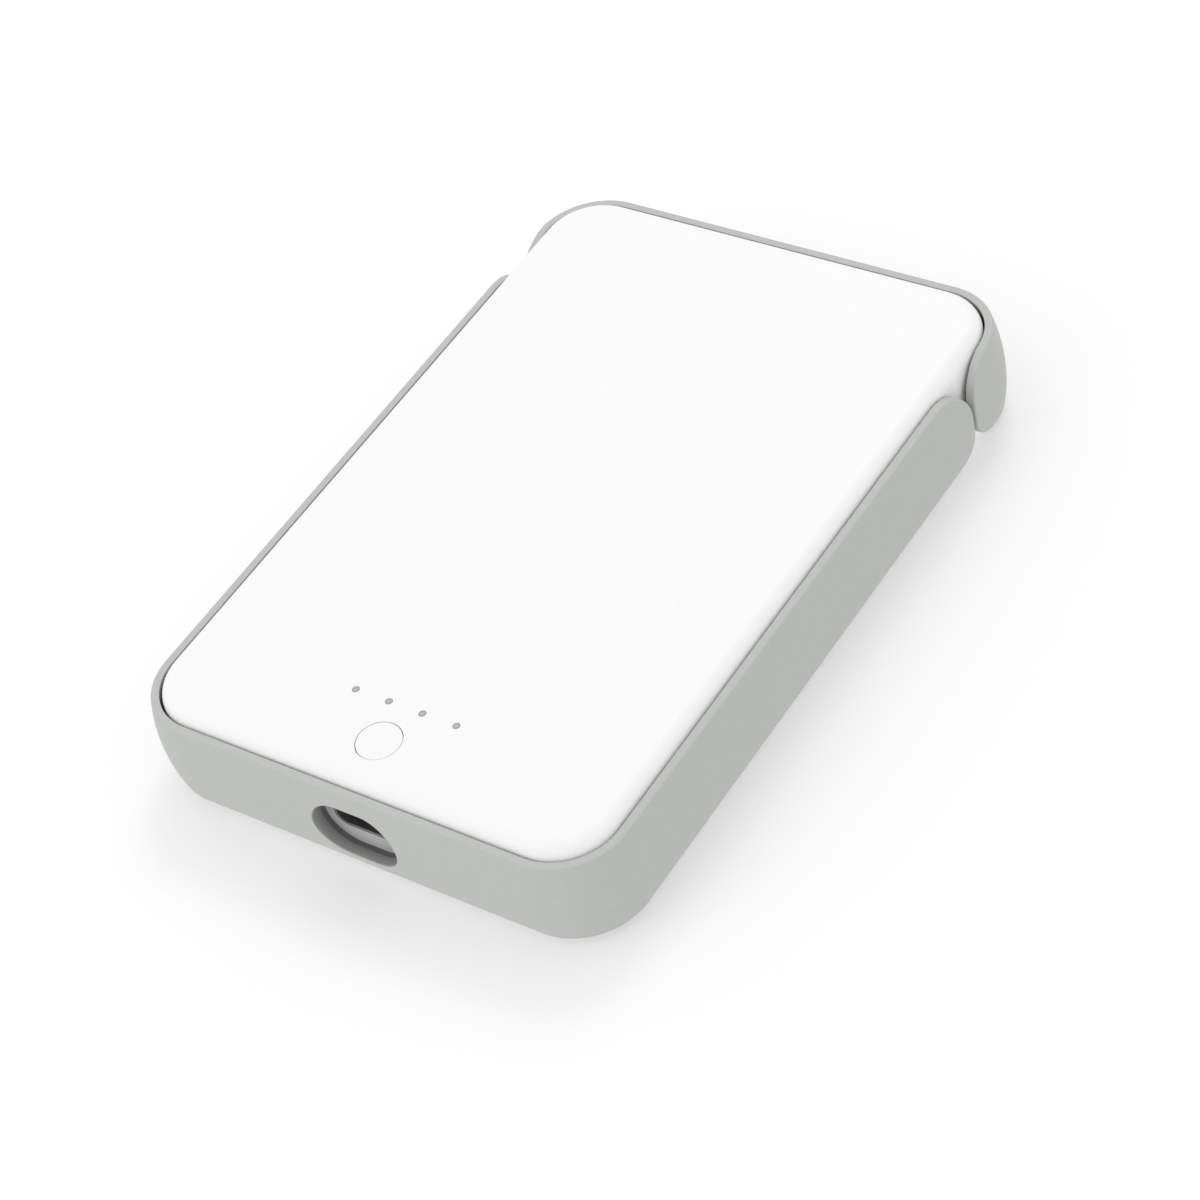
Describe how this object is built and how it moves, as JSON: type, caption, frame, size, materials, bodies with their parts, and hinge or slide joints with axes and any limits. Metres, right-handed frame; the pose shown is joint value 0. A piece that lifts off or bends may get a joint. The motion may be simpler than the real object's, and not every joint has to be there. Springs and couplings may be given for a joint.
{
  "type": "magnetic power bank",
  "caption": "Slim rounded white power bank with a grey edge band, a flush round button, charge lights, a charging port, and a magnet ring with a wireless coil behind its back face.",
  "frame": {"origin": "middle of the flat magnetic back face, on which the part lies", "axes": "+Z out of the front face with the button and lights, -Y out of the end with the charging port, +X across the width"},
  "size_m": [0.0672, 0.0996, 0.0148],
  "materials": {
    "white_plastic": "fine satin moulded texture",
    "grey_band": "soft-touch matte",
    "grey_plastic": "fine matte moulded texture",
    "dark_rubber": "moulded seal",
    "steel": "bright drawn",
    "black_plastic": "matte moulded",
    "dark_ferrite": "pressed ferrite",
    "gold_plate": "plated",
    "board_laminate": "solder mask",
    "tan_ceramic": "ceramic chip",
    "light_guide": "translucent, light off",
    "lamp_ceramic": "lamp with clear lens",
    "cell_foil": "laminated foil",
    "tape": "adhesive tape",
    "foam": "closed-cell foam",
    "nickel": "nickel plate",
    "copper": "enamelled copper wire"
  },
  "bodies": {
    "casing": {"front_shell": "white_plastic", "back_shell": "white_plastic", "side_band": "grey_band", "top_band": "grey_band", "port_plate": "grey_plastic", "port_gasket": "dark_rubber", "socket_shell": "steel", "socket_tongue": "black_plastic", "socket_contacts": "gold_plate", "circuit_board": "board_laminate", "board_screws": "steel", "power_inductor": "dark_ferrite", "charge_chip": "black_plastic", "coil_driver": "black_plastic", "capacitors": "tan_ceramic", "tact_switch": "black_plastic", "light_guide": "light_guide", "charge_lamps": "lamp_ceramic", "battery_cell": "cell_foil", "cell_tape": "tape", "foam_pad": "foam", "cell_tabs": "nickel", "ring_magnets": "nickel", "magnet_yoke": "steel", "charging_coil": "copper", "ferrite_sheet": "dark_ferrite", "coil_leads": "copper"},
    "button": {"power_button": "white_plastic", "switch_plunger": "black_plastic"}
  },
  "joints": [
    {"name": "button_press", "type": "slide", "parent": "casing", "child": "button", "axis": [0, 0, -1], "range_m": [0, 0.0004], "stiffness_N_per_m": 4000}
  ]
}
